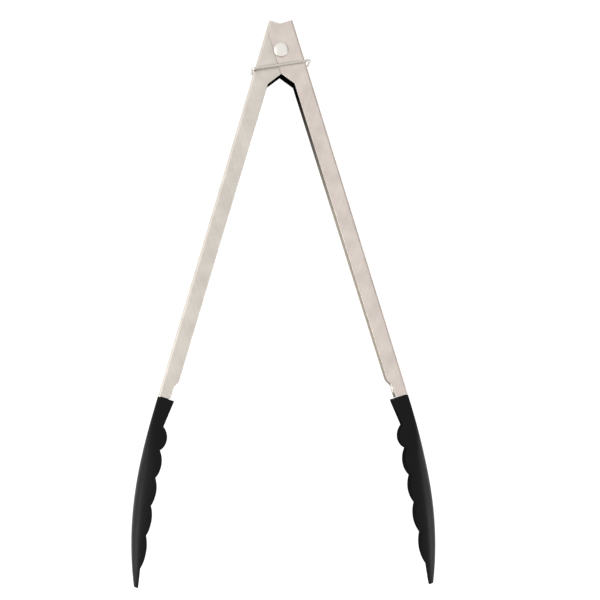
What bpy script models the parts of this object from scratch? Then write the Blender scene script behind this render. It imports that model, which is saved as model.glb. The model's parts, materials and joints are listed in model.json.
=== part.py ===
"""Spring loaded kitchen tongs: two folded steel arms, nylon heads, a sprung hinge and a wire lock ring.

The tongs lie on one side, open. The hinge axis is Z, the heads point to -Y, and the origin is where the
hinge axis meets the surface that they rest on. Every size below is in millimetres and degrees.

Each arm is drawn in its own frame, which is turned into place at the end:
  u  along the arm from the hinge axis towards the head
  v  across the arm, outwards, from the tongs' inside to the arm's web
  w  along the hinge axis, zero half way between the side walls
"""

import math

import bmesh
import bpy
from mathutils import Matrix, Vector

MM = 0.001

# ---------------------------------------------------------------- driving sizes
OPEN_HALF_ANGLE = 16.7      # each arm's angle from the centre line at rest

SHEET = 1.0                 # steel of both arms
BEND_RADIUS = 1.6           # outside radius of the channel's two bends
ARM_LENGTH = 190.6          # hinge axis to the cut end of the arm
ARM_TOP = 13.4              # hinge axis to the top end of the arm
WEB_OFFSET = 10.45          # hinge axis to the outside of the web
ARM_END_WIDTH = 14.4        # outside width of either channel at its head
INNER_HINGE_WIDTH = 14.8    # outside width of the inner channel at the hinge
HINGE_WALL_DEPTH = 14.15    # depth of the side walls round the hinge
ARM_WALL_DEPTH = 8.9        # depth of the side walls below the notch
HEAD_WALL_DEPTH = 8.35      # the same, just above the head
END_WALL_DEPTH = 6.6        # the same, at the cut end
NOTCH_START = 11.8          # where the slanted edge leaves the deep wall
NOTCH_END = 18.8            # where it meets the arm's plain wall
END_RECESS_START = 180.0    # the wall's edge steps back between here
END_RECESS_END = 184.5      # and here

RIVET_SHANK_RADIUS = 2.2
RIVET_HEAD_RADIUS = 3.85
RIVET_FRONT_HEIGHT = 1.5
RIVET_REAR_HEIGHT = 1.7

BUSH_WALL = 0.75
SPRING_WIRE = 1.7
SPRING_TURNS = 4
SPRING_LEG_LENGTH = 36.0    # hinge axis to the leg's end, along the arm

RING_WIRE = 1.5
RING_PLACE = 7.9            # hinge axis to the middle of the ring, down the centre line
RING_TILT = 8.5             # the ring sits askew across the arms
RING_CORNER = 2.6           # bend radius at the wire's centre

HEAD_LENGTH = 97.4          # collar shoulder to tip
HEAD_WIDTH = 21.4           # as wide as the hinge is deep over its rivet, so the tongs lie level
HEAD_WALL = 1.8
COLLAR_LENGTH = 6.0         # solid part of the head below its shoulder
COLLAR_DEPTH = 8.8
TONGUE_LENGTH = 10.5        # goes up inside the channel
TONGUE_DEPTH = 4.4
HEAD_CURVE = 15.9           # how far the back has curved in by the tip
HEAD_CURVE_POWER = 2.5
HEAD_WIDEST = 45.0          # shoulder to the widest section
TIP_WIDTH = 5.6
TIP_THICKNESS = 2.3
FIRST_NOTCH = 14.3          # shoulder to the first notch in the rim
FIRST_NOTCH_DEPTH = 7.2     # web line to the first notch
NOTCH_SLOPE = 0.1253        # the line of notches runs in by this for each mm
LOBE_LENGTHS = (12.2, 14.4, 14.4, 15.4, 16.6)
LOBE_RISES = (2.9, 2.2, 1.8, 1.8, 1.7)

HEAD_RIVET_SHANK_RADIUS = 1.6
HEAD_RIVET_HEAD_RADIUS = 2.9
HEAD_RIVET_CLINCH_RADIUS = 2.5
HEAD_RIVET_CLINCH = 0.8

# ---------------------------------------------------------------- clearances
TOUCH_GAP = 0.3             # between pieces that bear on each other
BORE_GAP = 0.25             # round a shank in its hole
CONE_GAP = 0.4              # the same round a countersunk head, measured across the hole
NEST_GAP = 0.3              # between the two channels' side walls
STOP_GAP = 0.3              # between the inner walls' corners and the outer web at rest
RING_GAP = 0.25             # between the ring's wire and the outer channel's side walls
RING_SIDE_GAP = 0.3         # between the ring's lower end and the web of the open arm in it

# ---------------------------------------------------------------- worked out from them
OUTER_HINGE_WIDTH = INNER_HINGE_WIDTH + 2 * (NEST_GAP + SHEET)
HINGE_HEIGHT = OUTER_HINGE_WIDTH / 2 + TOUCH_GAP + RIVET_REAR_HEIGHT
RING_INNER_WIDTH = 2 * (
    (WEB_OFFSET + RING_WIRE / 2 + RING_SIDE_GAP + RING_PLACE * math.sin(math.radians(OPEN_HALF_ANGLE)))
    / math.cos(math.radians(OPEN_HALF_ANGLE + RING_TILT))
    - RING_WIRE / 2
)
SHOULDER = ARM_LENGTH + TOUCH_GAP
TIP = SHOULDER + HEAD_LENGTH
BUSH_BORE = RIVET_SHANK_RADIUS + BORE_GAP
BUSH_RADIUS = BUSH_BORE + BUSH_WALL
BUSH_LENGTH = INNER_HINGE_WIDTH - 2 * SHEET - 2 * TOUCH_GAP
SPRING_RADIUS = BUSH_RADIUS + TOUCH_GAP + SPRING_WIRE / 2
HEAD_RIVET_PLACE = SHOULDER - TONGUE_LENGTH / 2
TONGUE_FACE = WEB_OFFSET - SHEET - TOUCH_GAP     # v of the tongue's outer face
ACROSS_THE_ARM = Matrix.Rotation(math.radians(-90), 4, "X")     # turns the w axis to v


# ---------------------------------------------------------------- helpers
def clear_scene():
    for item in list(bpy.data.objects):
        bpy.data.objects.remove(item)


def make_collection(name):
    collection = bpy.data.collections.new(name)
    bpy.context.scene.collection.children.link(collection)
    return collection


def make_material(name, colour, roughness, metallic):
    material = bpy.data.materials.new(name)
    material.use_nodes = True
    shader = material.node_tree.nodes["Principled BSDF"]
    shader.inputs["Base Color"].default_value = (*colour, 1.0)
    shader.inputs["Roughness"].default_value = roughness
    shader.inputs["Metallic"].default_value = metallic
    return material


def arm_matrix(side):
    """Arm frame to world: side is 1 for the right arm and -1 for the left, which is turned over."""
    half = math.radians(OPEN_HALF_ANGLE)
    along = Vector((side * math.sin(half), -math.cos(half), 0.0))
    across = Vector((side * math.cos(half), math.sin(half), 0.0))
    up = Vector((0.0, 0.0, side))
    turn = Matrix((along, across, up)).transposed().to_4x4()
    return Matrix.Translation((0.0, 0.0, HINGE_HEIGHT * MM)) @ turn


def object_from_bmesh(bm, name, collection):
    bmesh.ops.recalc_face_normals(bm, faces=bm.faces)
    mesh = bpy.data.meshes.new(name)
    bm.to_mesh(mesh)
    bm.free()
    made = bpy.data.objects.new(name, mesh)
    collection.objects.link(made)
    return made


def finish(made, material, smooth_angle=40.0):
    made.data.materials.clear()
    made.data.materials.append(material)
    made.data.shade_smooth()
    made.data.set_sharp_from_angle(angle=math.radians(smooth_angle))
    return made


def add_boolean(made, cutter, operation):
    modifier = made.modifiers.new(operation.title() + " " + cutter.name, "BOOLEAN")
    modifier.operation = operation
    modifier.solver = "EXACT"
    modifier.object = cutter


def hide_as_cutter(made):
    made.hide_render = True
    made.display_type = "WIRE"
    return made


def prism(name, outline, low, high, collection):
    """A closed outline of (u, v) points in millimetres, extruded along w."""
    bm = bmesh.new()
    corners = [bm.verts.new((u * MM, v * MM, low * MM)) for u, v in outline]
    face = bm.faces.new(corners)
    grown = bmesh.ops.extrude_face_region(bm, geom=[face])
    moved = [item for item in grown["geom"] if isinstance(item, bmesh.types.BMVert)]
    bmesh.ops.translate(bm, verts=moved, vec=(0.0, 0.0, (high - low) * MM))
    return object_from_bmesh(bm, name, collection)


def block(name, low, high, bevel, collection):
    """A box between two (u, v, w) corners in millimetres, its edges rounded by bevel."""
    bm = bmesh.new()
    bmesh.ops.create_cube(bm, size=1.0)
    size = [(b - a) * MM for a, b in zip(low, high)]
    middle = [(a + b) / 2 * MM for a, b in zip(low, high)]
    bmesh.ops.scale(bm, verts=bm.verts, vec=size)
    bmesh.ops.translate(bm, verts=bm.verts, vec=middle)
    if bevel:
        bmesh.ops.bevel(bm, geom=bm.edges[:], affect="EDGES", offset=bevel * MM, segments=2, profile=0.5)
    return object_from_bmesh(bm, name, collection)


def rod(name, radius, half_length, sides, collection):
    """A cylinder along w, centred on the frame's origin."""
    bm = bmesh.new()
    bmesh.ops.create_cone(
        bm,
        cap_ends=True,
        segments=sides,
        radius1=radius * MM,
        radius2=radius * MM,
        depth=2 * half_length * MM,
    )
    return object_from_bmesh(bm, name, collection)


def turned(name, profile, steps, collection, ring=False):
    """A profile of (radius, height) points in millimetres, top to bottom, turned round Z; a ring's is closed."""
    bm = bmesh.new()
    points = [bm.verts.new((radius * MM, 0.0, height * MM)) for radius, height in profile]
    for first, second in zip(points, points[1:]):
        bm.edges.new((first, second))
    if ring:
        bm.edges.new((points[-1], points[0]))
    mesh = bpy.data.meshes.new(name)
    bm.to_mesh(mesh)
    bm.free()
    made = bpy.data.objects.new(name, mesh)
    collection.objects.link(made)
    screw = made.modifiers.new("Turn", "SCREW")
    screw.steps = steps
    screw.render_steps = steps
    screw.use_merge_vertices = True
    screw.merge_threshold = 0.00001
    return made


def wire(name, points, diameter, closed, resolution, collection):
    """Round wire along points in metres, made a mesh with welded caps."""
    curve = bpy.data.curves.new(name, "CURVE")
    curve.dimensions = "3D"
    curve.bevel_depth = diameter / 2 * MM
    curve.bevel_resolution = resolution
    curve.use_fill_caps = not closed
    spline = curve.splines.new("POLY")
    spline.points.add(len(points) - 1)
    for slot, point in zip(spline.points, points):
        slot.co = (*point, 1.0)
    spline.use_cyclic_u = closed
    drawn = bpy.data.objects.new(name + "_path", curve)
    collection.objects.link(drawn)
    bpy.context.view_layer.update()
    graph = bpy.context.evaluated_depsgraph_get()
    mesh = bpy.data.meshes.new_from_object(drawn.evaluated_get(graph))
    bm = bmesh.new()
    bm.from_mesh(mesh)
    bmesh.ops.remove_doubles(bm, verts=bm.verts, dist=0.000001)
    made = object_from_bmesh(bm, name, collection)
    made.matrix_world = drawn.matrix_world
    bpy.data.objects.remove(drawn)
    return made


# ---------------------------------------------------------------- arms
def opposite_web_line(offset, along):
    """A point of the other arm's v = offset line, given its u there, in this arm's frame at rest."""
    twice = math.radians(2 * OPEN_HALF_ANGLE)
    return (
        along * math.cos(twice) - offset * math.sin(twice),
        -along * math.sin(twice) - offset * math.cos(twice),
    )


def arm_outline():
    """The side walls' outline. Its top inner corner is cut along the other arm's web, which is the stop."""
    inner = WEB_OFFSET - HINGE_WALL_DEPTH
    stop = WEB_OFFSET - SHEET - STOP_GAP
    first, second = opposite_web_line(stop, 0.0), opposite_web_line(stop, -20.0)
    slope = (second[1] - first[1]) / (second[0] - first[0])
    top_corner = first[1] + (-ARM_TOP - first[0]) * slope
    side_corner = first[0] + (inner - first[1]) / slope
    outside = WEB_OFFSET + 1.0
    steps = 6
    recess = []
    for step in range(steps + 1):
        share = step / steps
        ease = share * share * (3 - 2 * share)
        depth = HEAD_WALL_DEPTH + (END_WALL_DEPTH - HEAD_WALL_DEPTH) * ease
        recess.append((END_RECESS_START + (END_RECESS_END - END_RECESS_START) * share, WEB_OFFSET - depth))
    return [
        (-ARM_TOP, outside),
        (-ARM_TOP, top_corner),
        (side_corner, inner),
        (NOTCH_START, inner),
        (NOTCH_END, WEB_OFFSET - ARM_WALL_DEPTH),
        *recess,
        (ARM_LENGTH, WEB_OFFSET - END_WALL_DEPTH),
        (ARM_LENGTH, outside),
    ]


def channel_half_section(width):
    """(w, v) points down from one wall's edge and round its bend to the web."""
    points = [(width / 2, WEB_OFFSET - HINGE_WALL_DEPTH - 1.0)]
    arc_steps = 4
    for step in range(arc_steps + 1):
        turn = math.pi / 2 * step / arc_steps
        points.append(
            (
                width / 2 - BEND_RADIUS * (1 - math.cos(turn)),
                WEB_OFFSET - BEND_RADIUS * (1 - math.sin(turn)),
            )
        )
    return points


def channel(name, hinge_width, collection, cutters):
    """A folded channel: a U section lofted along the arm, then trimmed to the side walls' outline."""
    stations = (
        (-ARM_TOP - 1.0, hinge_width),
        (NOTCH_END + 2.0, hinge_width),
        (ARM_LENGTH + 1.0, ARM_END_WIDTH),
    )
    bm = bmesh.new()
    rows = []
    for along, width in stations:
        half = channel_half_section(width)
        row = [bm.verts.new((along * MM, v * MM, w * MM)) for w, v in half]
        row += [bm.verts.new((along * MM, v * MM, -w * MM)) for w, v in reversed(half)]
        rows.append(row)
    for near, far in zip(rows, rows[1:]):
        for index in range(len(near) - 1):
            bm.faces.new((near[index], near[index + 1], far[index + 1], far[index]))
    made = object_from_bmesh(bm, name, collection)
    if sum(face.normal.y for face in made.data.polygons) < 0:
        made.data.flip_normals()
    solid = made.modifiers.new("Sheet", "SOLIDIFY")
    solid.thickness = SHEET * MM
    solid.offset = -1.0
    solid.use_even_offset = True

    walls = prism(name + "_outline", arm_outline(), -hinge_width, hinge_width, cutters)
    add_boolean(made, hide_as_cutter(walls), "INTERSECT")
    bore = rod(name + "_hinge_hole", RIVET_SHANK_RADIUS + BORE_GAP, hinge_width, 32, cutters)
    add_boolean(made, hide_as_cutter(bore), "DIFFERENCE")
    add_boolean(made, hide_as_cutter(countersink(name + "_countersink", cutters)), "DIFFERENCE")
    return made


def countersink(name, collection):
    """A cone through the web, round the head rivet's flush head with a gap."""
    slope = (HEAD_RIVET_HEAD_RADIUS - HEAD_RIVET_SHANK_RADIUS) / SHEET
    low, high = WEB_OFFSET - 1.8 * SHEET, WEB_OFFSET + SHEET
    bm = bmesh.new()
    bmesh.ops.create_cone(
        bm,
        cap_ends=True,
        segments=24,
        radius1=(HEAD_RIVET_HEAD_RADIUS + CONE_GAP - slope * (WEB_OFFSET - low)) * MM,
        radius2=(HEAD_RIVET_HEAD_RADIUS + CONE_GAP + slope * (high - WEB_OFFSET)) * MM,
        depth=(high - low) * MM,
    )
    bmesh.ops.transform(bm, verts=bm.verts, matrix=ACROSS_THE_ARM)
    bmesh.ops.translate(bm, verts=bm.verts, vec=(HEAD_RIVET_PLACE * MM, (low + high) / 2 * MM, 0.0))
    return object_from_bmesh(bm, name, collection)


# ---------------------------------------------------------------- heads
def back_line(along):
    """v of the head's back at a distance along the arm."""
    start = SHOULDER + COLLAR_LENGTH
    if along <= start:
        return WEB_OFFSET
    share = (along - start) / (TIP - start)
    return WEB_OFFSET - HEAD_CURVE * share**HEAD_CURVE_POWER


def notch_line(along):
    return WEB_OFFSET - FIRST_NOTCH_DEPTH - NOTCH_SLOPE * (along - SHOULDER - FIRST_NOTCH)


def notch_places():
    places = [SHOULDER + FIRST_NOTCH]
    for length in LOBE_LENGTHS:
        places.append(places[-1] + length)
    return places


def rim_line(along):
    """v of the rim: straight to the first notch, a row of circular lobes, then a short straight tip."""
    places = notch_places()
    if along <= places[0]:
        share = (along - SHOULDER) / (places[0] - SHOULDER)
        shoulder_rim = WEB_OFFSET - COLLAR_DEPTH
        return shoulder_rim + (notch_line(places[0]) - shoulder_rim) * share
    for start, end, rise in zip(places, places[1:], LOBE_RISES):
        if along <= end:
            half = (end - start) / 2
            radius = (half * half + rise * rise) / (2 * rise)
            offset = along - start - half
            return notch_line(along) - (math.sqrt(radius * radius - offset * offset) - (radius - rise))
    last = notch_line(places[-1])
    share = (along - places[-1]) / (TIP - places[-1])
    return last + (back_line(TIP) - TIP_THICKNESS - last) * share


def half_width(along):
    widest = SHOULDER + HEAD_WIDEST
    start = SHOULDER + COLLAR_LENGTH
    if along <= start:
        return ARM_END_WIDTH / 2
    if along <= widest:
        share = (along - start) / (widest - start)
        return (ARM_END_WIDTH + (HEAD_WIDTH - ARM_END_WIDTH) * share * share * (3 - 2 * share)) / 2
    reach = (TIP - widest) / math.sqrt(1 - (TIP_WIDTH / HEAD_WIDTH) ** 2)
    return HEAD_WIDTH / 2 * math.sqrt(1 - ((along - widest) / reach) ** 2)


def head_section(along, inset, steps):
    """(w, v) points from one rim round the back to the other, inset by a wall thickness."""
    back = back_line(along) - inset
    rim = rim_line(along)
    crest = notch_line(along) - max(LOBE_RISES)
    half = half_width(along) - inset
    share = min(1.0, max(0.0, (along - SHOULDER - COLLAR_LENGTH) / (HEAD_WIDEST - COLLAR_LENGTH)))
    power = 12.0 - 9.2 * share
    depth = back - crest
    start = max(0.0, min(1.0, (rim - crest) / depth))
    first = math.asin(start ** (power / 2))
    points = []
    for step in range(steps + 1):
        turn = first + (math.pi - 2 * first) * step / steps
        sine, cosine = math.sin(turn), math.cos(turn)
        w = half * abs(cosine) ** (2 / power)
        points.append((math.copysign(w, cosine), crest + depth * abs(sine) ** (2 / power)))
    return points


def head_stations():
    """Sections along the head: one at each notch, with enough between them for each lobe's arc."""
    places = notch_places()
    stations = [SHOULDER, SHOULDER + COLLAR_LENGTH, (SHOULDER + COLLAR_LENGTH + places[0]) / 2]
    per_lobe = 7
    for start, end in zip(places, places[1:]):
        stations += [start + (end - start) * step / per_lobe for step in range(per_lobe)]
    stations.append(places[-1])
    tip_steps = 4
    for step in range(1, tip_steps + 1):
        stations.append(places[-1] + (TIP - places[-1]) * math.sin(math.pi / 2 * step / tip_steps))
    return stations


def head_shell(name, collection):
    """A solid collar, a hollow spoon and a solid tip, closed by hand because no two sections are alike."""
    steps = 16
    stations = head_stations()
    bowl = range(1, len(stations) - 2)
    bm = bmesh.new()
    outer, inner = [], {}
    for index, along in enumerate(stations):
        skin = head_section(along, 0.0, steps)
        outer.append([bm.verts.new((along * MM, v * MM, w * MM)) for w, v in skin])
        if index in bowl:
            lining = head_section(along, HEAD_WALL, steps)
            inner[index] = [bm.verts.new((along * MM, v * MM, w * MM)) for w, v in lining]
    bm.faces.new(outer[0])
    bm.faces.new(outer[-1])
    bm.faces.new(inner[bowl[0]])
    bm.faces.new(inner[bowl[-1]])
    for index in range(len(stations) - 1):
        near, far = outer[index], outer[index + 1]
        for slot in range(steps):
            bm.faces.new((near[slot], near[slot + 1], far[slot + 1], far[slot]))
        if index in inner and index + 1 in inner:
            inside, next_inside = inner[index], inner[index + 1]
            for slot in range(steps):
                bm.faces.new((inside[slot], inside[slot + 1], next_inside[slot + 1], next_inside[slot]))
            for edge in (0, steps):
                bm.faces.new((near[edge], far[edge], next_inside[edge], inside[edge]))
        else:
            # the flat inner face of the collar or tip, which meets the bowl's end wall
            mouth = [inner[end][slot] for end in (index, index + 1) if end in inner for slot in (0, steps)]
            if index + 1 in inner:
                bm.faces.new((near[0], far[0], mouth[0], mouth[1], far[steps], near[steps]))
            elif index in inner:
                bm.faces.new((near[0], mouth[0], mouth[1], near[steps], far[steps], far[0]))
            else:
                bm.faces.new((near[0], far[0], far[steps], near[steps]))
    return object_from_bmesh(bm, name, collection)


def head(name, collection, cutters):
    made = head_shell(name, collection)
    tongue_half = ARM_END_WIDTH / 2 - SHEET - TOUCH_GAP
    tongue = block(
        name + "_tongue",
        (SHOULDER - TONGUE_LENGTH, TONGUE_FACE - TONGUE_DEPTH, -tongue_half),
        (SHOULDER + COLLAR_LENGTH / 2, TONGUE_FACE, tongue_half),
        0.6,
        cutters,
    )
    add_boolean(made, hide_as_cutter(tongue), "UNION")
    bore = rod(name + "_rivet_hole", HEAD_RIVET_SHANK_RADIUS + BORE_GAP, TONGUE_DEPTH, 24, cutters)
    middle = (HEAD_RIVET_PLACE * MM, (TONGUE_FACE - TONGUE_DEPTH / 2) * MM, 0.0)
    bore.data.transform(Matrix.Translation(middle) @ ACROSS_THE_ARM)
    add_boolean(made, hide_as_cutter(bore), "DIFFERENCE")
    return made


def head_rivet(name, collection):
    """Flush outer head in the web's countersink, shank through the tongue, clinched head inside."""
    clinch = TONGUE_FACE - TONGUE_DEPTH - TOUCH_GAP
    profile = (
        (0.0, WEB_OFFSET),
        (HEAD_RIVET_HEAD_RADIUS, WEB_OFFSET),
        (HEAD_RIVET_SHANK_RADIUS, WEB_OFFSET - SHEET),
        (HEAD_RIVET_SHANK_RADIUS, clinch),
        (HEAD_RIVET_CLINCH_RADIUS, clinch),
        (HEAD_RIVET_CLINCH_RADIUS, clinch - HEAD_RIVET_CLINCH / 2),
        (HEAD_RIVET_SHANK_RADIUS, clinch - HEAD_RIVET_CLINCH),
        (0.0, clinch - HEAD_RIVET_CLINCH),
    )
    return turned(name, profile, 24, collection)


# ---------------------------------------------------------------- hinge
def hinge_rivet(collection):
    """One solid: domed front head, shank, and flat clinched rear head, which the tongs rest on."""
    front = OUTER_HINGE_WIDTH / 2 + TOUCH_GAP
    edge = 0.35
    profile = [(0.0, front + RIVET_FRONT_HEIGHT)]
    for step in range(1, 7):
        turn = math.radians(90.0) * step / 6
        height = front + edge + (RIVET_FRONT_HEIGHT - edge) * math.cos(turn)
        profile.append((RIVET_HEAD_RADIUS * math.sin(turn) ** 0.8, height))
    profile += [
        (RIVET_HEAD_RADIUS, front),
        (RIVET_SHANK_RADIUS, front),
        (RIVET_SHANK_RADIUS, -front),
        (RIVET_HEAD_RADIUS - 0.2, -front),
        (RIVET_HEAD_RADIUS, -front - 0.5),
        (RIVET_HEAD_RADIUS - 0.5, -front - RIVET_REAR_HEIGHT + 0.2),
        (RIVET_HEAD_RADIUS - 0.9, -front - RIVET_REAR_HEIGHT),
        (0.0, -front - RIVET_REAR_HEIGHT),
    ]
    made = turned("hinge_rivet", profile, 40, collection)
    made.location.z = HINGE_HEIGHT * MM
    return made


def spring_bush(collection):
    half = BUSH_LENGTH / 2
    profile = ((BUSH_RADIUS, half), (BUSH_RADIUS, -half), (BUSH_BORE, -half), (BUSH_BORE, half))
    made = turned("spring_bush", profile, 32, collection, ring=True)
    made.location.z = HINGE_HEIGHT * MM
    return made


def spring_points():
    """From the right leg's end up to the coil, round it, and down the left leg."""
    half_angle = math.radians(OPEN_HALF_ANGLE)
    contact = WEB_OFFSET - SHEET - TOUCH_GAP - SPRING_WIRE / 2
    lean = math.atan2(contact - SPRING_RADIUS, SPRING_LEG_LENGTH)
    # the leg leaves the coil at a tangent, so its start is turned by the leg's lean
    start = half_angle + lean
    steps = SPRING_TURNS * 20
    sweep = 2 * math.pi * SPRING_TURNS + math.pi - 2 * start
    rise = (SPRING_WIRE + 0.12) * (sweep / (2 * math.pi))
    coil = []
    for step in range(steps + 1):
        share = step / steps
        turn = start + sweep * share
        x, y = SPRING_RADIUS * math.cos(turn), SPRING_RADIUS * math.sin(turn)
        coil.append(Vector((x, y, rise * (share - 0.5))) * MM)
    ends = []
    for side, height in ((1, -rise / 2), (-1, rise / 2)):
        along = Vector((side * math.sin(half_angle), -math.cos(half_angle), 0.0))
        across = Vector((side * math.cos(half_angle), math.sin(half_angle), 0.0))
        ends.append((along * SPRING_LEG_LENGTH + across * contact + Vector((0.0, 0.0, height))) * MM)
    legs = []
    for end, top in zip(ends, (coil[0], coil[-1])):
        legs.append([end.lerp(top, share / 3) for share in range(3)])
    return legs[0] + coil + legs[1][::-1]


def torsion_spring(collection):
    made = wire("torsion_spring", spring_points(), SPRING_WIRE, False, 2, collection)
    made.location.z = HINGE_HEIGHT * MM
    return made


# ---------------------------------------------------------------- lock ring
def ring_points():
    """A rounded rectangle in the plane across the centre line, before its tilt."""
    half_x = (RING_INNER_WIDTH + RING_WIRE) / 2
    half_z = OUTER_HINGE_WIDTH / 2 + RING_GAP + RING_WIRE / 2
    points = []
    for index, (side_x, side_z) in enumerate(((1, 1), (-1, 1), (-1, -1), (1, -1))):
        for step in range(7):
            turn = math.pi / 2 * (index + step / 6)
            x = side_x * (half_x - RING_CORNER) + RING_CORNER * math.cos(turn)
            z = side_z * (half_z - RING_CORNER) + RING_CORNER * math.sin(turn)
            points.append(Vector((x, 0.0, z)) * MM)
    return points


def lock_ring(collection):
    made = wire("lock_ring", ring_points(), RING_WIRE, True, 3, collection)
    tilt = Matrix.Rotation(math.radians(RING_TILT), 4, "Z")
    made.matrix_world = Matrix.Translation((0.0, -RING_PLACE * MM, HINGE_HEIGHT * MM)) @ tilt
    return made


# ---------------------------------------------------------------- assembly
def build():
    clear_scene()
    tongs = make_collection("kitchen_tongs")
    cutters = make_collection("cutters")
    steel = make_material("brushed_steel", (0.62, 0.58, 0.54), 0.34, 1.0)
    rivet_steel = make_material("rivet_steel", (0.78, 0.77, 0.74), 0.25, 1.0)
    spring_steel = make_material("spring_steel", (0.35, 0.34, 0.33), 0.4, 1.0)
    nylon = make_material("black_nylon", (0.018, 0.018, 0.018), 0.45, 0.0)

    arms = ((1, "outer_arm", "right", OUTER_HINGE_WIDTH), (-1, "inner_arm", "left", INNER_HINGE_WIDTH))
    for side, arm_name, hand, width in arms:
        place = arm_matrix(side)
        arm = finish(channel(arm_name, width, tongs, cutters), steel)
        spoon = finish(head(hand + "_head", tongs, cutters), nylon)
        rivet = finish(head_rivet(hand + "_head_rivet", tongs), rivet_steel)
        arm.matrix_world = place
        spoon.matrix_world = place
        rivet.matrix_world = place @ Matrix.Translation((HEAD_RIVET_PLACE * MM, 0.0, 0.0)) @ ACROSS_THE_ARM
        for made in (arm, spoon):
            for modifier in made.modifiers:
                if modifier.type == "BOOLEAN":
                    modifier.object.matrix_world = place

    finish(hinge_rivet(tongs), rivet_steel)
    finish(spring_bush(tongs), steel)
    finish(torsion_spring(tongs), spring_steel)
    finish(lock_ring(tongs), rivet_steel)


build()
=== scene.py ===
"""Spring loaded kitchen tongs lying open on their side, one section to a piece, in the order of assembly."""

import json
import math

import bmesh
import bpy
from mathutils import Matrix, Vector


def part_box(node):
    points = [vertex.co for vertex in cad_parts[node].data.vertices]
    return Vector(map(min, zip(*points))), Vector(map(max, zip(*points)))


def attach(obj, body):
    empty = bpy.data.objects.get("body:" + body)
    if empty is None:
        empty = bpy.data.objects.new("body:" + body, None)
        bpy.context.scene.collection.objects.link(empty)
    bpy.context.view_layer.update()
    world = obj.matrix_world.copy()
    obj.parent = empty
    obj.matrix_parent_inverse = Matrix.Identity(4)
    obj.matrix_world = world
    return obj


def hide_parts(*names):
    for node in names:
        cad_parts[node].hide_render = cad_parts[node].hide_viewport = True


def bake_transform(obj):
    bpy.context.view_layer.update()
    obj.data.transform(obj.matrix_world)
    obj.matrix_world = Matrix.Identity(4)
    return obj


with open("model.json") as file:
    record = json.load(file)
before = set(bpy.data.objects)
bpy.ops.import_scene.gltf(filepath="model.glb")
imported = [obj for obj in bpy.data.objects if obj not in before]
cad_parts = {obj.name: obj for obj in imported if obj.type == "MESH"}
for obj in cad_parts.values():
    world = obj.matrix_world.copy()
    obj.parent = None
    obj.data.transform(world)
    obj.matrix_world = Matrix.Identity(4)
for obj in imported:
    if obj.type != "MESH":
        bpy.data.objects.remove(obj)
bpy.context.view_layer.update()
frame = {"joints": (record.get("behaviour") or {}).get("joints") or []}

# ---------------------------------------------------------------- hinge rivet
# One solid stainless rivet through all four side walls. Its low domed head is cold formed and tumbled bright.
# The other end is clinched flat over the rear wall, and the tongs lie on it.
MM = 0.001
hinge_height = frame["joints"][0]["pos_m"][2]
rivet_low, rivet_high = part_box("hinge_rivet")
rivet_radius = rivet_high.x
shank_radius = 2.2 * MM
front_wall_face = 9.0 * MM     # hinge's mid-plane to the underside of either head


def linear(code):
    """An sRGB hex colour as the linear red, green, blue and alpha that a shader takes."""
    shares = [int(code[at : at + 2], 16) / 255 for at in (1, 3, 5)]
    return [*(c / 12.92 if c <= 0.04045 else ((c + 0.055) / 1.055) ** 2.4 for c in shares), 1.0]


def add(material, kind, settings, sockets):
    """One new shader node: settings by attribute, and sockets filled with a value or linked to an output."""
    node = material.node_tree.nodes.new("ShaderNode" + kind)
    for name, value in settings.items():
        setattr(node, name, value)
    for name, value in sockets.items():
        if isinstance(value, bpy.types.NodeSocket):
            material.node_tree.links.new(value, node.inputs[name])
        else:
            node.inputs[name].default_value = value
    return node


def blank_material(name, colour, metallic, roughness):
    """A new material and its Principled shader, with the values that are the same all over."""
    material = bpy.data.materials.new(name)
    material.use_nodes = True
    shader = material.node_tree.nodes["Principled BSDF"]
    shader.inputs["Base Color"].default_value = linear(colour)
    shader.inputs["Metallic"].default_value = metallic
    shader.inputs["Roughness"].default_value = roughness
    return material, shader


def turned(profile, steps):
    """A profile of (radius, height) points spun round the Z axis and closed at its poles."""
    bm = bmesh.new()
    points = [bm.verts.new((radius, 0.0, height)) for radius, height in profile]
    edges = [bm.edges.new(pair) for pair in zip(points, points[1:])]
    bmesh.ops.spin(
        bm, geom=points + edges, cent=(0, 0, 0), axis=(0, 0, 1), angle=math.tau, steps=steps, use_merge=True
    )
    bmesh.ops.remove_doubles(bm, verts=bm.verts, dist=0.000001)
    bmesh.ops.recalc_face_normals(bm, faces=bm.faces)
    return bm


def make_piece(bm, name, material, edge_radius=0.0, edge_angle=30.0):
    """Turns a finished bmesh into an object at the origin, smooth shaded, with its sharp edges broken."""
    mesh = bpy.data.meshes.new(name)
    bm.to_mesh(mesh)
    bm.free()
    mesh.materials.append(material)
    mesh.shade_smooth()
    piece = bpy.data.objects.new(name, mesh)
    bpy.context.scene.collection.objects.link(piece)
    if edge_radius:
        edge = piece.modifiers.new("Broken edges", "BEVEL")
        edge.width = edge_radius
        edge.segments = 3
        edge.limit_method = "ANGLE"
        edge.angle_limit = math.radians(edge_angle)
        edge.harden_normals = True
        edge.material = -1
    return piece


# Tumbled stainless: an even, bright satin with the faint orange peel of the tumbling stones, about 0.4 mm.
tumbled, shader = blank_material("tumbled_stainless", "#E4E1DA", 1.0, 0.3)
places = add(tumbled, "TexCoord", {}, {}).outputs["Object"]
peel_size = 0.4 * MM
peel = add(
    tumbled, "TexNoise", {}, {"Vector": places, "Scale": 1 / peel_size / 2, "Detail": 3.0, "Roughness": 0.6}
)
peel_rough = add(tumbled, "MapRange", {}, {"Value": peel.outputs["Fac"], "To Min": 0.24, "To Max": 0.38})
tumbled.node_tree.links.new(peel_rough.outputs["Result"], shader.inputs["Roughness"])
peel_bump = add(tumbled, "Bump", {}, {"Height": peel.outputs["Fac"], "Strength": 0.25, "Distance": 0.02 * MM})
tumbled.node_tree.links.new(peel_bump.outputs["Normal"], shader.inputs["Normal"])

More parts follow.
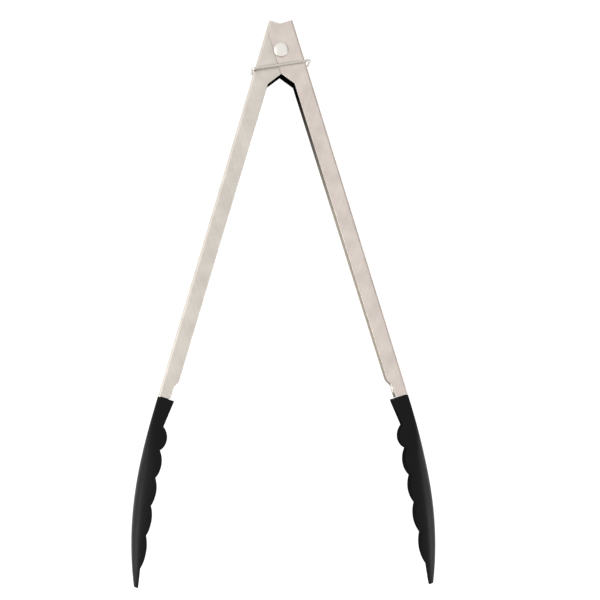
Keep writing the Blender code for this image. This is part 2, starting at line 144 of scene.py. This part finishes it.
dome_rise = rivet_high.z - hinge_height - front_wall_face
rim_rise = 0.35 * MM
dome = [(0.0, hinge_height + front_wall_face + dome_rise)]
for step in range(1, 13):
    turn = math.pi / 2 * step / 12
    rise = rim_rise + (dome_rise - rim_rise) * math.cos(turn)
    dome.append((rivet_radius * math.sin(turn) ** 0.8, hinge_height + front_wall_face + rise))
shank = [
    (rivet_radius, hinge_height + front_wall_face),
    (shank_radius, hinge_height + front_wall_face),
    (shank_radius, hinge_height - front_wall_face),
]
clinched = [
    (rivet_radius - 0.2 * MM, hinge_height - front_wall_face),
    (rivet_radius, hinge_height - front_wall_face - 0.5 * MM),
    (rivet_radius - 0.5 * MM, 0.2 * MM),
    (rivet_radius - 0.9 * MM, 0.0),
    (0.0, 0.0),
]
rivet = make_piece(turned(dome + shank + clinched, 64), "domed_hinge_rivet", tumbled, 0.08 * MM, 50.0)
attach(rivet, "hinge")
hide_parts("hinge_rivet")

# ---------------------------------------------------------------- spacer bush
# A plain cut length of stainless tube that the rivet is clinched through. It stops the clinching from
# squeezing the two channels together, and the spring's coil sits on it.
bush_low, bush_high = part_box("spring_bush")
bush_bore = 2.45 * MM

# Mill finished tube: as drawn, a little dull, with draw lines along it about 0.3 mm apart.
drawn_tube, shader = blank_material("drawn_steel_tube", "#A8A39B", 1.0, 0.42)
places = add(drawn_tube, "TexCoord", {}, {}).outputs["Object"]
along = add(drawn_tube, "Mapping", {}, {"Vector": places, "Scale": (1.0, 1.0, 0.05)}).outputs["Vector"]
lines = add(drawn_tube, "TexNoise", {}, {"Vector": along, "Scale": 1 / (0.3 * MM) / 2, "Detail": 2.0})
line_rough = add(drawn_tube, "MapRange", {}, {"Value": lines.outputs["Fac"], "To Min": 0.32, "To Max": 0.52})
drawn_tube.node_tree.links.new(line_rough.outputs["Result"], shader.inputs["Roughness"])

tube = turned(
    [
        (bush_high.x, bush_high.z),
        (bush_high.x, bush_low.z),
        (bush_bore, bush_low.z),
        (bush_bore, bush_high.z),
        (bush_high.x, bush_high.z),
    ],
    48,
)
bush = make_piece(tube, "spacer_bush", drawn_tube, 0.08 * MM, 50.0)
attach(bush, "hinge")
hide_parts("spring_bush")

# ---------------------------------------------------------------- torsion spring
# Round spring wire wound in four turns on the bush. Its two straight legs lie inside the arms and press on
# their webs. It is made here in two halves that meet mid-coil.
wire_radius = 0.85 * MM
coil_radius = 4.35 * MM
leg_reach = 36.0 * MM
leg_offset = 8.3 * MM       # hinge axis to the leg's end, across the arm
coil_turns = 4
coil_pitch = 1.82 * MM
open_half_angle = math.radians(16.7)
leg_lean = math.atan2(leg_offset - coil_radius, leg_reach)
coil_start = open_half_angle + leg_lean
coil_sweep = math.tau * coil_turns + math.pi - 2 * coil_start
coil_rise = coil_pitch * coil_sweep / math.tau
leg_length = math.hypot(leg_reach, leg_offset - coil_radius)

# Oil tempered spring wire: dark, with a soft sheen along the wire and faint die lines.
spring_wire, shader = blank_material("oil_tempered_spring_wire", "#6A6660", 1.0, 0.38)
places = add(spring_wire, "TexCoord", {}, {}).outputs["Object"]
die = add(spring_wire, "TexNoise", {}, {"Vector": places, "Scale": 900.0, "Detail": 2.0})
die_rough = add(spring_wire, "MapRange", {}, {"Value": die.outputs["Fac"], "To Min": 0.3, "To Max": 0.5})
spring_wire.node_tree.links.new(die_rough.outputs["Result"], shader.inputs["Roughness"])

for side, hand in ((1, "right"), (-1, "left")):
    # the wire's section stands in the middle of the coil, then goes round to the leg on this side and down it
    middle = coil_start + coil_sweep / 2
    steps = 90
    turn = -side * coil_sweep / 2
    rise = -side * coil_rise / 2
    bm = bmesh.new()
    section = bmesh.ops.create_circle(bm, cap_ends=False, segments=16, radius=wire_radius)["verts"]
    stand = Matrix.Rotation(middle, 4, "Z") @ Matrix.Translation((coil_radius, 0, hinge_height))
    bmesh.ops.transform(bm, verts=section, matrix=stand @ Matrix.Rotation(math.pi / 2, 4, "X"))
    wound = bmesh.ops.spin(
        bm,
        geom=bm.verts[:] + bm.edges[:],
        cent=(0, 0, 0),
        axis=(0, 0, 1),
        angle=turn,
        dvec=(0, 0, rise / steps),
        steps=steps,
    )
    end = middle + turn
    out = Vector((math.sin(end), -math.cos(end), 0)) * side
    leg_edges = [item for item in wound["geom_last"] if isinstance(item, bmesh.types.BMEdge)]
    leg = bmesh.ops.extrude_edge_only(bm, edges=leg_edges)["geom"]
    leg_verts = [item for item in leg if isinstance(item, bmesh.types.BMVert)]
    bmesh.ops.translate(bm, verts=leg_verts, vec=out * leg_length)
    bmesh.ops.holes_fill(bm, edges=bm.edges)
    bmesh.ops.recalc_face_normals(bm, faces=bm.faces)
    half = make_piece(bm, "spring_" + hand + "_half", spring_wire, 0.15 * MM, 60.0)
    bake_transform(half)
    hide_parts("torsion_spring")

# ---------------------------------------------------------------- the two arms
# Each arm is one strip of 1 mm stainless sheet, blanked and folded into a channel that narrows to its head.
# The inner arm's walls fit between the outer arm's. Both are drilled for the rivet, and countersunk for the
# head's rivet.
sheet = 1.0 * MM
bend_radius = 1.6 * MM
arm_length = 190.6 * MM
arm_top = 13.4 * MM
web_offset = 10.45 * MM
arm_end_width = 14.4 * MM
inner_hinge_width = 14.8 * MM
outer_hinge_width = inner_hinge_width + 2 * (0.3 * MM + sheet)
hinge_wall = 14.15 * MM
arm_wall = 8.9 * MM
head_wall = 8.35 * MM
end_wall = 6.6 * MM
notch_start = 11.8 * MM
notch_end = 18.8 * MM
recess_start = 180.0 * MM
recess_end = 184.5 * MM
head_rivet_place = 185.65 * MM


def arm_frame(side):
    """From an arm's own frame (along it, outwards, across its width) to its place. The left turns over."""
    along = Vector((side * math.sin(open_half_angle), -math.cos(open_half_angle), 0))
    across = Vector((side * math.cos(open_half_angle), math.sin(open_half_angle), 0))
    turn = Matrix((along, across, Vector((0, 0, side)))).transposed().to_4x4()
    return Matrix.Translation((0, 0, hinge_height)) @ turn


def wall_outline():
    """One side wall, notched, with its top inner corner cut back to stop on the other arm's web."""
    twice = 2 * open_half_angle
    stop = web_offset - sheet - 0.3 * MM
    inner = web_offset - hinge_wall
    slope = -math.tan(twice)
    crossing = -stop / math.cos(twice)
    top_corner = crossing - arm_top * slope
    side_corner = (inner - crossing) / slope
    recess = []
    for step in range(13):
        share = step / 12
        depth = head_wall + (end_wall - head_wall) * share * share * (3 - 2 * share)
        recess.append((recess_start + (recess_end - recess_start) * share, web_offset - depth))
    return [
        (-arm_top, web_offset),
        (-arm_top, top_corner),
        (side_corner, inner),
        (notch_start, inner),
        (notch_end, web_offset - arm_wall),
        *recess,
        (arm_length, web_offset - end_wall),
        (arm_length, web_offset),
    ]


def drill(piece, *drills):
    """Cuts holes in a piece for good. Each drill is a taper: place, low radius, high radius, half length."""
    for place, low, high, half_length in drills:
        bm = bmesh.new()
        bmesh.ops.create_cone(
            bm, cap_ends=True, segments=48, radius1=low, radius2=high, depth=2 * half_length, matrix=place
        )
        mesh = bpy.data.meshes.new("drill")
        bm.to_mesh(mesh)
        bm.free()
        cutter = bpy.data.objects.new("drill", mesh)
        bpy.context.scene.collection.objects.link(cutter)
        hole = piece.modifiers.new("Hole", "BOOLEAN")
        hole.object = cutter
        hole.solver = "EXACT"
        bpy.context.view_layer.update()
        drilled = bpy.data.meshes.new_from_object(piece.evaluated_get(bpy.context.evaluated_depsgraph_get()))
        piece.modifiers.clear()
        piece.data = drilled
        bpy.data.objects.remove(cutter)


def folded_channel(hinge_width):
    """The folded strip's outer skin in the arm's own frame."""
    bm = bmesh.new()
    wall = bm.faces.new([bm.verts.new((u, v, hinge_width / 2)) for u, v in wall_outline()])
    fold = [edge for edge in wall.edges if all(abs(vert.co.y - web_offset) < 1e-7 for vert in edge.verts)]
    web = bmesh.ops.extrude_edge_only(bm, edges=fold)["geom"]
    web_verts = [item for item in web if isinstance(item, bmesh.types.BMVert)]
    bmesh.ops.translate(bm, verts=web_verts, vec=(0, 0, -hinge_width / 2))
    bmesh.ops.mirror(bm, geom=bm.verts[:] + bm.edges[:] + bm.faces[:], axis="Z", merge_dist=0.000001)
    taper_start = notch_end + 2 * MM
    bmesh.ops.bisect_plane(
        bm, geom=bm.verts[:] + bm.edges[:] + bm.faces[:], plane_co=(taper_start, 0, 0), plane_no=(1, 0, 0)
    )
    for vert in bm.verts:
        share = max(0.0, (vert.co.x - taper_start) / (arm_length - taper_start))
        vert.co.z *= 1 - share * (1 - arm_end_width / hinge_width)
    bmesh.ops.recalc_face_normals(bm, faces=bm.faces)
    folds = [edge for edge in bm.edges if len(edge.link_faces) == 2 and edge.calc_face_angle() > 1.0]
    bmesh.ops.bevel(
        bm,
        geom=folds,
        affect="EDGES",
        offset=bend_radius,
        segments=8,
        profile=0.5,
        material=-1,
        clamp_overlap=False,
    )
    if sum(face.normal.y * face.calc_area() for face in bm.faces) < 0:
        bmesh.ops.reverse_faces(bm, faces=bm.faces)
    return bm


def brushed_stainless(name, colour, shade, side):
    """Sheet brushed along its length: warm pale grey, fine streaks along the arm, and slow clouds."""
    material, shader = blank_material(name, colour, 1.0, 0.36)
    places = add(material, "TexCoord", {}, {}).outputs["Object"]
    turn = Vector((0, 0, math.pi / 2 - side * open_half_angle))
    arm_way = add(material, "Mapping", {"vector_type": "TEXTURE"}, {"Vector": places, "Rotation": turn})
    # the belt's grit leaves lines near 0.1 mm wide, drawn here 0.7 mm wide and 40 mm long so that they show
    streak_width = 0.7 * MM
    cloud_size = 9 * MM
    stretched = add(
        material, "Mapping", {}, {"Vector": arm_way.outputs["Vector"], "Scale": (0.018, 1.0, 1.0)}
    )
    grain = add(
        material,
        "TexNoise",
        {},
        {"Vector": stretched.outputs["Vector"], "Scale": 1 / streak_width, "Detail": 4.0},
    )
    clouds = add(
        material,
        "TexNoise",
        {},
        {"Vector": arm_way.outputs["Vector"], "Scale": 1 / cloud_size, "Detail": 3.0},
    )
    both = add(
        material,
        "Math",
        {"operation": "MULTIPLY_ADD"},
        {0: grain.outputs["Fac"], 1: 0.55, 2: clouds.outputs["Fac"]},
    )
    tone = add(
        material,
        "MapRange",
        {},
        {"Value": both.outputs["Value"], "From Min": 0.55, "From Max": 1.0, "To Min": 0.0, "To Max": 1.0},
    )
    colours = add(
        material,
        "Mix",
        {"data_type": "RGBA"},
        {"Factor": tone.outputs["Result"], 6: linear(shade), 7: linear(colour)},
    )
    material.node_tree.links.new(colours.outputs[2], shader.inputs["Base Color"])
    rough = add(
        material, "MapRange", {}, {"Value": grain.outputs["Fac"], "To Min": 0.28, "To Max": 0.46}
    )
    material.node_tree.links.new(rough.outputs["Result"], shader.inputs["Roughness"])
    bump = add(
        material, "Bump", {}, {"Height": grain.outputs["Fac"], "Strength": 0.2, "Distance": 0.02 * MM}
    )
    material.node_tree.links.new(bump.outputs["Normal"], shader.inputs["Normal"])
    return material


# The strip's inner side is left as rolled: duller than the brushed side, with rolling marks about 0.5 mm
# apart. Round the hinge its colour is painted black, a painted shade for the dark inside of the channel, and it
# fades back to the sheet's colour down the arm.
# the painted shade is full black this far from the hinge, and gone by the next distance
full_shade_reach = 24 * MM
shade_fade_end = 90 * MM
shaded_mill_finish, shader = blank_material("mill_finish_painted_hinge_shade", "#D2CCC2", 1.0, 0.5)
places = add(shaded_mill_finish, "TexCoord", {}, {}).outputs["Object"]
marks = add(shaded_mill_finish, "TexNoise", {}, {"Vector": places, "Scale": 1 / (0.5 * MM) / 2, "Detail": 3.0})
mark_rough = add(shaded_mill_finish, "MapRange", {}, {"Value": marks.outputs["Fac"], "To Min": 0.42, "To Max": 0.6})
shaded_mill_finish.node_tree.links.new(mark_rough.outputs["Result"], shader.inputs["Roughness"])
from_hinge = add(shaded_mill_finish, "VectorMath", {"operation": "LENGTH"}, {0: places}).outputs["Value"]
shade_fade = add(
    shaded_mill_finish, "MapRange", {}, {"Value": from_hinge, "From Min": full_shade_reach, "From Max": shade_fade_end}
)
# black near the hinge, fading out down the arm: painted shade
painted_shade_mix = add(
    shaded_mill_finish,
    "Mix",
    {"data_type": "RGBA"},
    {"Factor": shade_fade.outputs["Result"], 6: linear("#141312"), 7: linear("#D2CCC2")},
)
shaded_mill_finish.node_tree.links.new(painted_shade_mix.outputs[2], shader.inputs["Base Color"])

hinge_hole = 2.45 * MM
hinge_drill_reach = 12 * MM
sink_slope = 1.3
sink_half_length = 1.4 * MM
sink_drop = 0.4 * MM        # web's outer face to the middle of the countersink drill
sink_radius = 3.3 * MM      # two drops below that face. At the face it is 4.34 mm, 1.04 mm wider than the CAD's
arms = (
    (-1, "left", "inner_arm", inner_hinge_width, "#D6CFC6", "#C6BFB6"),
    (1, "right", "outer_arm", outer_hinge_width, "#DACFC7", "#CABFB8"),
)
across_arm = Matrix.Rotation(math.radians(-90), 4, "X")
for side, hand, node, hinge_width, colour, shade in arms:
    material = brushed_stainless("brushed_stainless_" + hand, colour, shade, side)
    arm = make_piece(folded_channel(hinge_width), "folded_" + node, material)
    # the sheet's inner side takes the mill finish with the painted shade round the hinge
    arm.data.materials.append(shaded_mill_finish)
    thick = arm.modifiers.new("Sheet", "SOLIDIFY")
    thick.thickness = sheet
    thick.offset = -1.0
    thick.use_even_offset = True
    thick.material_offset = 1
    sink = Matrix.Translation((head_rivet_place, web_offset - sink_drop, 0)) @ across_arm
    sink_low = sink_radius - sink_slope * (sink_half_length - sink_drop)
    sink_high = sink_radius + sink_slope * (sink_half_length + sink_drop)
    drill(
        arm,
        (Matrix.Identity(4), hinge_hole, hinge_hole, hinge_drill_reach),
        (sink, sink_low, sink_high, sink_half_length),
    )
    arm.data.transform(arm_frame(side))
    arm.data.shade_smooth()
    edge = arm.modifiers.new("Broken edges", "BEVEL")
    edge.width = 0.3 * MM
    edge.segments = 3
    edge.limit_method = "ANGLE"
    edge.angle_limit = math.radians(35)
    edge.harden_normals = True
    edge.material = -1
    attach(arm, hand + "_arm")
    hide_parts(node)

# ---------------------------------------------------------------- the two heads
# Injection moulded black nylon, one moulding for both arms: a tongue up inside the channel, a solid collar
# against the arm's cut end, and a hollow spoon with five lobes along each rim.
collar_length = 6.0 * MM
head_length = 97.4 * MM
shoulder = arm_length + 0.3 * MM
tip = shoulder + head_length
spoon_start = shoulder + collar_length
head_width = 21.4 * MM
head_thickness = 1.8 * MM
collar_depth = 8.8 * MM
tongue_length = 10.5 * MM
tongue_depth = 4.4 * MM
tongue_half_width = 5.9 * MM
tongue_face = web_offset - sheet - 0.3 * MM
tip_width = 5.6 * MM
tip_thickness = 2.3 * MM
widest = shoulder + 45.0 * MM
notches = [shoulder + 14.3 * MM]
for lobe_length in (12.2, 14.4, 14.4, 15.4, 16.6):
    notches.append(notches[-1] + lobe_length * MM)
lobe_rises = [rise * MM for rise in (2.9, 2.2, 1.8, 1.8, 1.7)]
head_curve = 15.9 * MM      # how far the back comes in by the tip
head_curve_power = 2.5
first_notch_depth = 7.2 * MM
notch_slope = 0.1253        # how the line of notches falls away, to a length along the arm
round_power = 2.2           # superellipse power of the section where it is widest
squarer_by = 9.8            # added to it at the collar
hollow_opens = 2.5 * MM
hollow_end = 3.0 * MM       # tip to where the hollow has closed
hollow_closes = 3.5 * MM
head_hole = 1.85 * MM
head_drill_reach = 5 * MM


def back_line(u):
    """How far out the back stands at a distance along the arm."""
    if u <= spoon_start:
        return web_offset
    share = (u - spoon_start) / (tip - spoon_start)
    return web_offset - head_curve * share**head_curve_power


def notch_line(u):
    """Where the line through the bottoms of the notches stands."""
    return web_offset - first_notch_depth - notch_slope * (u - notches[0])


def rim_line(u):
    """The rim runs straight to the first notch, over five round lobes, and straight again to the tip."""
    if u <= notches[0]:
        share = (u - shoulder) / (notches[0] - shoulder)
        return web_offset - collar_depth + (notch_line(notches[0]) - web_offset + collar_depth) * share
    for start, end, rise in zip(notches, notches[1:], lobe_rises):
        if u <= end:
            half = (end - start) / 2
            radius = (half * half + rise * rise) / (2 * rise)
            return notch_line(u) - (math.sqrt(radius**2 - (u - start - half) ** 2) - (radius - rise))
    last = notch_line(notches[-1])
    share = (u - notches[-1]) / (tip - notches[-1])
    return last + (back_line(tip) - tip_thickness - last) * share


def half_width(u):
    """Half the head's width: the arm's at the collar, most at the widest place, and least at the tip."""
    if u <= spoon_start:
        return arm_end_width / 2
    if u <= widest:
        share = (u - spoon_start) / (widest - spoon_start)
        return (arm_end_width + (head_width - arm_end_width) * share * share * (3 - 2 * share)) / 2
    reach = (tip - widest) / math.sqrt(1 - (tip_width / head_width) ** 2)
    return head_width / 2 * math.sqrt(1 - ((u - widest) / reach) ** 2)


def skin_point(u, share, inset):
    """A point of the skin, from one rim (share 0) over the back to the other (share 1), inset by a wall."""
    crest = notch_line(u) - max(lobe_rises)
    squareness = 1 - min(1.0, max(0.0, (u - spoon_start) / (widest - spoon_start)))
    power = round_power + squarer_by * squareness**3
    depth = back_line(u) - inset - crest
    rim = max(0.0, min(1.0, (rim_line(u) - crest) / depth))
    first = math.asin(rim ** (power / 2))
    turn = first + (math.pi - 2 * first) * share
    w = (half_width(u) - inset) * abs(math.cos(turn)) ** (2 / power)
    return Vector((u, crest + depth * math.sin(turn) ** (2 / power), math.copysign(w, math.cos(turn))))


def hollow(u):
    """How far the hollow has opened: none in the collar, all of it in the spoon, none at the tip."""
    opening = min(1.0, max(0.0, (u - spoon_start) / hollow_opens))
    closing = min(1.0, max(0.0, (tip - hollow_end - u) / hollow_closes))
    return math.sin(math.pi / 2 * min(opening, closing)) ** 0.7


# Nylon from a spark eroded mould: deep black with a soft satin sheen and a texture of about 0.3 mm.
nylon, shader = blank_material("moulded_black_nylon", "#0C0C0C", 0.0, 0.45)
shader.inputs["IOR"].default_value = 1.53
shader.inputs["Specular IOR Level"].default_value = 0.1
places = add(nylon, "TexCoord", {}, {}).outputs["Object"]
spark_size = 0.3 * MM
spark = add(
    nylon, "TexNoise", {}, {"Vector": places, "Scale": 1 / spark_size / 2, "Detail": 4.0, "Roughness": 0.65}
)
flow = add(nylon, "TexNoise", {}, {"Vector": places, "Scale": 1 / (12 * MM), "Detail": 2.0})
flow_rough = add(nylon, "MapRange", {}, {"Value": flow.outputs["Fac"], "To Min": 0.36, "To Max": 0.5})
nylon.node_tree.links.new(flow_rough.outputs["Result"], shader.inputs["Roughness"])
spark_bump = add(nylon, "Bump", {}, {"Height": spark.outputs["Fac"], "Strength": 0.25, "Distance": 0.03 * MM})
nylon.node_tree.links.new(spark_bump.outputs["Normal"], shader.inputs["Normal"])

# The rims and the hollow take a copy of the nylon that is matt and reflects nothing, so they stay dark
# when they are seen edge on: painted shade.
unreflecting_nylon, shader = blank_material("nylon_without_reflection", "#202020", 0.0, 0.75)
shader.inputs["IOR"].default_value = 1.53
shader.inputs["Specular IOR Level"].default_value = 0.0
places = add(unreflecting_nylon, "TexCoord", {}, {}).outputs["Object"]
coarse = add(unreflecting_nylon, "TexNoise", {}, {"Vector": places, "Scale": 1 / (0.4 * MM) / 2, "Detail": 4.0})
coarse_bump = add(
    unreflecting_nylon, "Bump", {}, {"Height": coarse.outputs["Fac"], "Strength": 0.4, "Distance": 0.05 * MM}
)
unreflecting_nylon.node_tree.links.new(coarse_bump.outputs["Normal"], shader.inputs["Normal"])

# sections along the head: close together over each lobe, with one exactly at each notch
stations = [shoulder, shoulder + 2 * MM, shoulder + 4 * MM]
stations += [spoon_start + 0.3 * step * MM for step in range(9)]
hollow_start = spoon_start + hollow_opens
stations += [hollow_start + (notches[0] - hollow_start) * step / 8 for step in range(1, 8)]
for start, end in zip(notches, notches[1:]):
    stations += [start + (end - start) * step / 16 for step in range(16)]
for step in range(17):
    stations.append(notches[-1] + (tip - notches[-1]) * math.sin(math.pi / 2 * step / 16))
back_steps = 40
front_steps = 28
around = back_steps + front_steps

for side, hand in ((1, "right"), (-1, "left")):
    # a closed tube is cut into rings, and each ring is moved to its section: over the back, then inside it
    bm = bmesh.new()
    bmesh.ops.create_cone(bm, cap_ends=True, segments=around, radius1=1, radius2=1, depth=1)
    lengthways = [edge for edge in bm.edges if abs(edge.verts[0].co.z - edge.verts[1].co.z) > 0.5]
    bmesh.ops.subdivide_edges(bm, edges=lengthways, cuts=len(stations) - 2)
    # the rims and the hollow, which take the copy of the nylon that reflects nothing: painted shade
    unreflecting_verts = set()
    for vert in bm.verts:
        u = stations[round((vert.co.z + 0.5) * (len(stations) - 1))]
        place = round(math.atan2(vert.co.y, vert.co.x) / math.tau * around) % around
        if place == 0 or place >= back_steps:
            unreflecting_verts.add(vert)
        if place <= back_steps:
            vert.co = skin_point(u, place / back_steps, 0.0)
        else:
            share = 1 - (place - back_steps - 1) / (front_steps - 2)
            deep = skin_point(u, share, head_thickness)
            lid = Vector((u, rim_line(u), (half_width(u) - head_thickness) * (1 - 2 * share)))
            vert.co = lid.lerp(deep, hollow(u))
    # faces of the rims and the hollow get the unreflecting copy, a painted shade
    for face in bm.faces:
        face.material_index = int(all(vert in unreflecting_verts for vert in face.verts))
    collar_end = min(bm.faces, key=lambda face: face.calc_center_median().x - len(face.verts) * MM)
    tongue = bmesh.ops.extrude_discrete_faces(bm, faces=[collar_end])["faces"][0]
    for vert in tongue.verts:
        height_share = (vert.co.y - web_offset + collar_depth) / collar_depth
        vert.co.y = tongue_face - tongue_depth + height_share * tongue_depth
        vert.co.z *= tongue_half_width / (arm_end_width / 2)
    tongue = bmesh.ops.extrude_discrete_faces(bm, faces=[tongue])["faces"][0]
    bmesh.ops.translate(bm, verts=tongue.verts, vec=(-tongue_length, 0, 0))
    bmesh.ops.recalc_face_normals(bm, faces=bm.faces)
    head = make_piece(bm, "nylon_" + hand + "_head", nylon)
    head.data.materials.append(unreflecting_nylon)
    hole = Matrix.Translation((head_rivet_place, tongue_face - tongue_depth / 2, 0)) @ across_arm
    drill(head, (hole, head_hole, head_hole, head_drill_reach))
    head.data.transform(arm_frame(side))
    head.data.shade_smooth()
    edge = head.modifiers.new("Moulded edges", "BEVEL")
    edge.width = 0.1 * MM
    edge.segments = 3
    edge.limit_method = "ANGLE"
    edge.angle_limit = math.radians(40)
    edge.harden_normals = True
    edge.material = -1
    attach(head, hand + "_arm")
    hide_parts(hand + "_head")

# ---------------------------------------------------------------- head rivets
# A small countersunk stainless rivet holds each head: it lies flush in the web, goes through the tongue, and
# is clinched inside the channel.
sunk_radius = 2.9 * MM
pin_radius = 1.6 * MM
clinch_face = tongue_face - tongue_depth - 0.3 * MM
pin_profile = [
    (0.0, web_offset),
    (sunk_radius, web_offset),
    (pin_radius, web_offset - sheet),
    (pin_radius, clinch_face),
    (2.5 * MM, clinch_face),
    (2.5 * MM, clinch_face - 0.4 * MM),
    (2.1 * MM, clinch_face - 0.7 * MM),
    (1.6 * MM, clinch_face - 0.8 * MM),
    (0.0, clinch_face - 0.8 * MM),
]
for side, hand in ((1, "right"), (-1, "left")):
    bm = turned(pin_profile, 48)
    place = arm_frame(side) @ Matrix.Translation((head_rivet_place, 0, 0)) @ across_arm
    bmesh.ops.transform(bm, verts=bm.verts, matrix=place)
    pin = make_piece(bm, "sunk_" + hand + "_rivet", tumbled, 0.06 * MM, 30.0)
    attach(pin, hand + "_arm")
    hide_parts(hand + "_head_rivet")

# ---------------------------------------------------------------- lock ring
# A loop of 1.5 mm stainless wire bent round both arms, a little askew, with its ends butt welded. On the real
# tongs it drops down the closed arms to hold them shut.
ring_wire = 0.75 * MM
ring_corner = 2.6 * MM
ring_place = 7.9 * MM
ring_tilt = math.radians(8.5)
ring_reach = web_offset + ring_wire + 0.3 * MM + ring_place * math.sin(open_half_angle)
ring_half_width = ring_reach / math.cos(open_half_angle + ring_tilt)
ring_half_depth = 9.7 * MM

# Bright drawn wire: smoother than the tumbled rivet and a shade darker, so its sides mirror what is near it.
bright_wire, shader = blank_material("bright_drawn_wire", "#C6C2BB", 1.0, 0.2)
places = add(bright_wire, "TexCoord", {}, {}).outputs["Object"]
scuffs = add(bright_wire, "TexNoise", {}, {"Vector": places, "Scale": 1 / (0.5 * MM) / 2, "Detail": 3.0})
scuff_rough = add(
    bright_wire, "MapRange", {}, {"Value": scuffs.outputs["Fac"], "To Min": 0.14, "To Max": 0.3}
)
bright_wire.node_tree.links.new(scuff_rough.outputs["Result"], shader.inputs["Roughness"])

bm = bmesh.new()
bmesh.ops.create_circle(
    bm, cap_ends=False, segments=24, radius=ring_wire, matrix=Matrix.Translation((ring_half_width, 0, 0))
)
open_end = bm.verts[:] + bm.edges[:]
runs = (
    ((0, 0, 1), ring_half_depth - ring_corner, (1, 1)),
    ((-1, 0, 0), 2 * (ring_half_width - ring_corner), (-1, 1)),
    ((0, 0, -1), 2 * (ring_half_depth - ring_corner), (-1, -1)),
    ((1, 0, 0), 2 * (ring_half_width - ring_corner), (1, -1)),
    ((0, 0, 1), ring_half_depth - ring_corner, None),
)
for way, length, corner in runs:
    edges = [item for item in open_end if isinstance(item, bmesh.types.BMEdge)]
    run = bmesh.ops.extrude_edge_only(bm, edges=edges)["geom"]
    run_verts = [item for item in run if isinstance(item, bmesh.types.BMVert)]
    bmesh.ops.translate(bm, verts=run_verts, vec=Vector(way) * length)
    run_edges = [item for item in run if isinstance(item, bmesh.types.BMEdge)]
    open_end = run_verts + [edge for edge in run_edges if all(vert in run_verts for vert in edge.verts)]
    if corner:
        centre = Vector(
            (corner[0] * (ring_half_width - ring_corner), 0, corner[1] * (ring_half_depth - ring_corner))
        )
        bent = bmesh.ops.spin(
            bm, geom=open_end, cent=centre, axis=(0, -1, 0), angle=math.pi / 2, steps=10
        )
        open_end = bent["geom_last"]
bmesh.ops.remove_doubles(bm, verts=bm.verts, dist=0.000001)
bmesh.ops.recalc_face_normals(bm, faces=bm.faces)
lay = Matrix.Translation((0, -ring_place, hinge_height)) @ Matrix.Rotation(ring_tilt, 4, "Z")
bmesh.ops.transform(bm, verts=bm.verts, matrix=lay)
ring = make_piece(bm, "wire_lock_ring", bright_wire)
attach(ring, "ring")
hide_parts("lock_ring")

# ---------------------------------------------------------------- the studio
# The tongs lie on a lit white table in a white tent. A broad soft light stands to their left, and a weak one
# beside each head. The camera looks down on them.
table_white, shader = blank_material("lit_white_table", "#8C8C8B", 0.0, 0.8)
shader.inputs["Emission Color"].default_value = linear("#FFFFFF")
shader.inputs["Emission Strength"].default_value = 0.95

bm = bmesh.new()
bmesh.ops.create_grid(bm, x_segments=1, y_segments=1, size=6.0)
bmesh.ops.translate(bm, verts=bm.verts, vec=(0, 0, -0.0001))
table = make_piece(bm, "table", table_white)
# it shows to the camera and in the metal, and casts no light of its own on the tongs
table.visible_diffuse = False


def soft_light(name, place, aim, width, height, power):
    """A broad rectangular light that faces a point."""
    lamp = bpy.data.lights.new(name, "AREA")
    lamp.shape = "RECTANGLE"
    lamp.size = width
    lamp.size_y = height
    lamp.energy = power
    stand = bpy.data.objects.new(name, lamp)
    stand.location = place
    stand.rotation_mode = "QUATERNION"
    stand.rotation_quaternion = (Vector(aim) - Vector(place)).to_track_quat("-Z", "Y")
    bpy.context.scene.collection.objects.link(stand)


soft_light("from_the_left", (-1.1, 0.1, 0.8), (0, -0.13, 0), 0.9, 1.2, 2)
for side in (1, -1):
    soft_light("beside_a_head", (side * 0.45, -0.3, 0.06), (side * 0.07, -0.23, 0.01), 0.25, 0.1, 0.7)

# A white tent all round, brightest overhead and dimmer low down, with a dim side beyond the right arm.
tent = bpy.data.worlds.new("tent")
tent.use_nodes = True
brightest = Vector((-0.2, 0.0, 1.0)).normalized()
way = add(tent, "TexCoord", {}, {}).outputs["Generated"]
height = add(tent, "VectorMath", {"operation": "DOT_PRODUCT"}, {0: way, 1: brightest})
glow = add(
    tent,
    "MapRange",
    {"interpolation_type": "SMOOTHSTEP"},
    {"Value": height.outputs["Value"], "From Min": -0.75, "From Max": 0.6, "To Min": 0.2, "To Max": 1.06},
)
gap_side = add(tent, "VectorMath", {"operation": "DOT_PRODUCT"}, {0: way, 1: (0.94, 0.34, 0.0)})
gap_shade = add(
    tent,
    "MapRange",
    {"interpolation_type": "SMOOTHSTEP"},
    {"Value": gap_side.outputs["Value"], "From Min": 0.7, "From Max": 0.97, "To Min": 1.0, "To Max": 0.3},
)
both = add(
    tent, "Math", {"operation": "MULTIPLY"}, {0: glow.outputs["Result"], 1: gap_shade.outputs["Result"]}
)
backdrop = tent.node_tree.nodes["Background"]
backdrop.inputs["Color"].default_value = linear("#FFFFFF")
tent.node_tree.links.new(both.outputs["Value"], backdrop.inputs["Strength"])
bpy.context.scene.world = tent
bpy.context.scene.view_settings.view_transform = "Standard"

# The camera stands a metre off behind a long lens, a little left of square and below it, and barely rolled.
lens = 115.4
sensor = 36.0
roll = math.radians(-0.45)
towards = Vector((-math.sin(math.radians(3.5)), -math.sin(math.radians(3.0)), 0))
towards.z = math.sqrt(1 - towards.length_squared)
level = Vector((0, 1, 0)).cross(towards).normalized()
turn = Matrix((level, towards.cross(level), towards)).transposed() @ Matrix.Rotation(roll, 3, "Z")
# the rivet's top is seen this far right of and above the middle of the frame, as shares of the lens's length
dome_right = -0.0097
dome_up = 0.1305
away = turn @ Vector((-dome_right, -dome_up, 1.0))
camera_data = bpy.data.cameras.new("camera")
camera_data.sensor_width = sensor
camera_data.lens = lens
camera = bpy.data.objects.new("camera", camera_data)
camera.matrix_world = Matrix.Translation(Vector((0, 0, rivet_high.z)) + away) @ turn.to_4x4()
bpy.context.scene.collection.objects.link(camera)
bpy.context.scene.camera = camera
